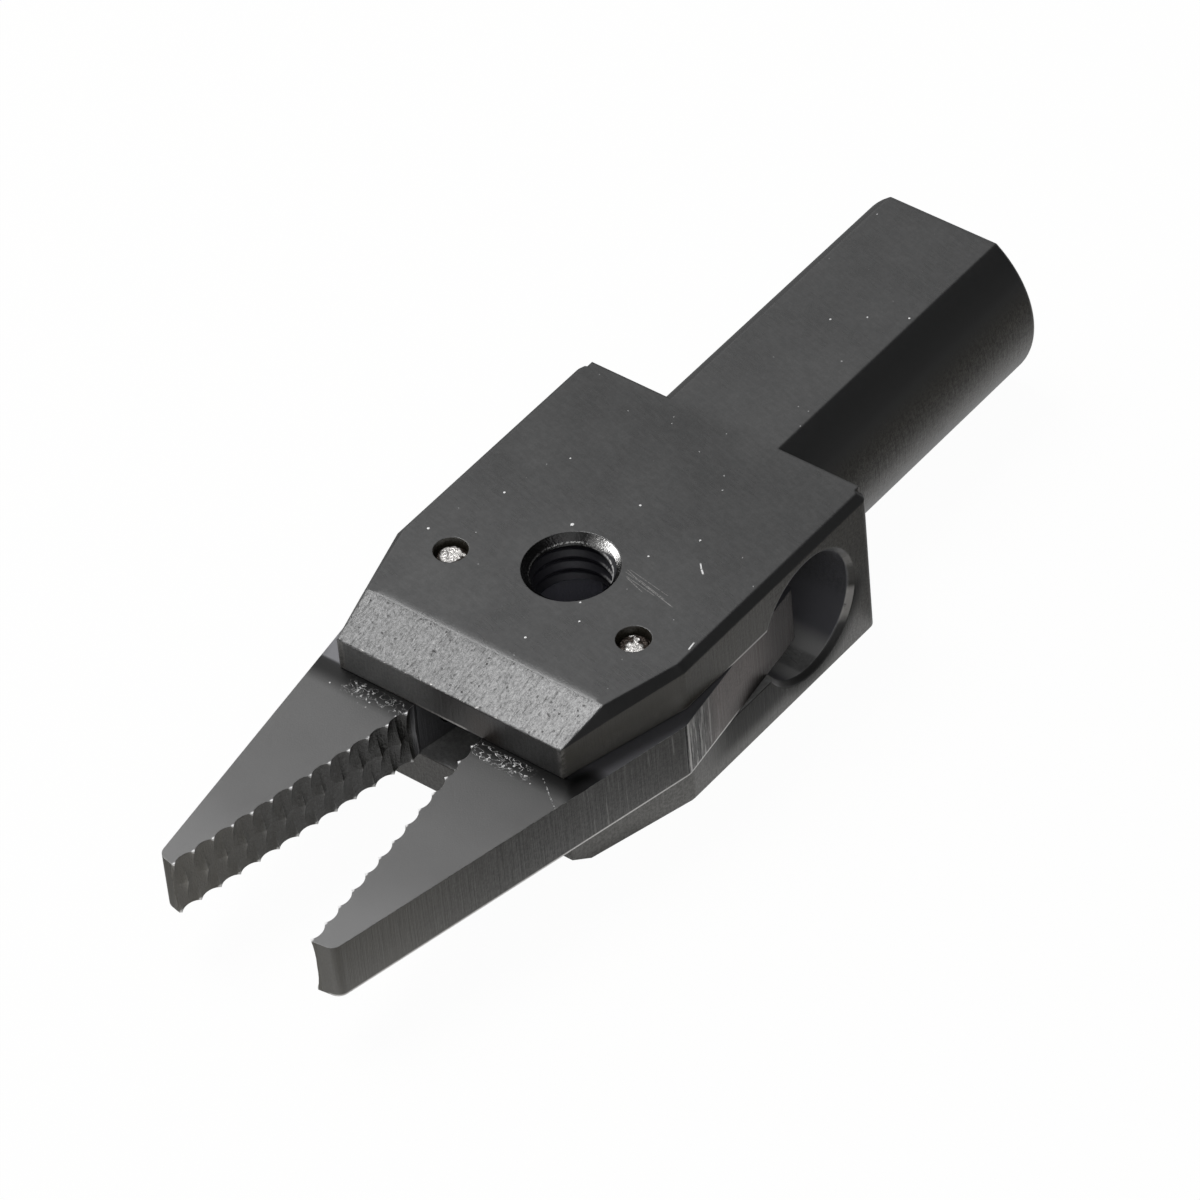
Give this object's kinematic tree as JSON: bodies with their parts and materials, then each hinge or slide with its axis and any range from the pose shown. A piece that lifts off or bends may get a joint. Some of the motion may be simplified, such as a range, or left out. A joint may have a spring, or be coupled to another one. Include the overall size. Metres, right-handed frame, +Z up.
{
  "type": "pneumatic sprue gripper",
  "caption": "Small pneumatic gripper with two toothed scissor jaws in a slotted flat body on a round shank.",
  "frame": {"origin": "centre of the air port's mouth, in the rear end face of the shank", "axes": "+X along the shank axis toward the jaw tips, +Z up out of the face with the threaded hole, +Y to the left seen from the shank"},
  "size_m": [0.0501, 0.0171, 0.008],
  "materials": {
    "blackened_body": "dark anodised, satin, with fine machining marks",
    "jaw_steel": "blackened steel, edges worn bright",
    "pin_steel": "bare steel, scratched",
    "ground_steel": "ground",
    "spring_steel": "drawn wire",
    "plain_aluminium": "turned",
    "bush_bronze": "sintered, oily",
    "seal_rubber": "smooth"
  },
  "bodies": {
    "body": {"housing": "blackened_body", "pivot_pin_left": "pin_steel", "pivot_pin_right": "pin_steel", "end_plug": "plain_aluminium", "plug_seal": "seal_rubber", "rod_bush": "bush_bronze", "return_spring": "spring_steel", "jaw_spring": "spring_steel"},
    "piston": {"piston": "plain_aluminium", "piston_rod": "ground_steel", "piston_nut": "pin_steel", "piston_seal": "seal_rubber"},
    "jaw_left": {"jaw_left": "jaw_steel"},
    "jaw_right": {"jaw_right": "jaw_steel"}
  },
  "joints": [
    {"name": "piston_slide", "type": "slide", "parent": "body", "child": "piston", "axis": [1, 0, 0], "range_m": [0, 0.003], "stiffness_N_per_m": 540, "springref_m": -0.003, "deforming": ["return_spring"]},
    {"name": "jaw_left_hinge", "type": "hinge", "parent": "body", "child": "jaw_left", "pos_m": [0.0299, 0.0051, 0], "axis": [0, 0, -1], "range_deg": [0, 8.4], "deforming": ["jaw_spring"]},
    {"name": "jaw_right_hinge", "type": "hinge", "parent": "body", "child": "jaw_right", "pos_m": [0.0299, -0.0051, 0], "axis": [0, 0, 1], "range_deg": [0, 12.6], "deforming": ["jaw_spring"]}
  ],
  "couplings": [
    {"joint": "jaw_left_hinge", "follows": "piston_slide", "rad_per_m": 48.86},
    {"joint": "jaw_right_hinge", "follows": "piston_slide", "rad_per_m": 73.3}
  ]
}
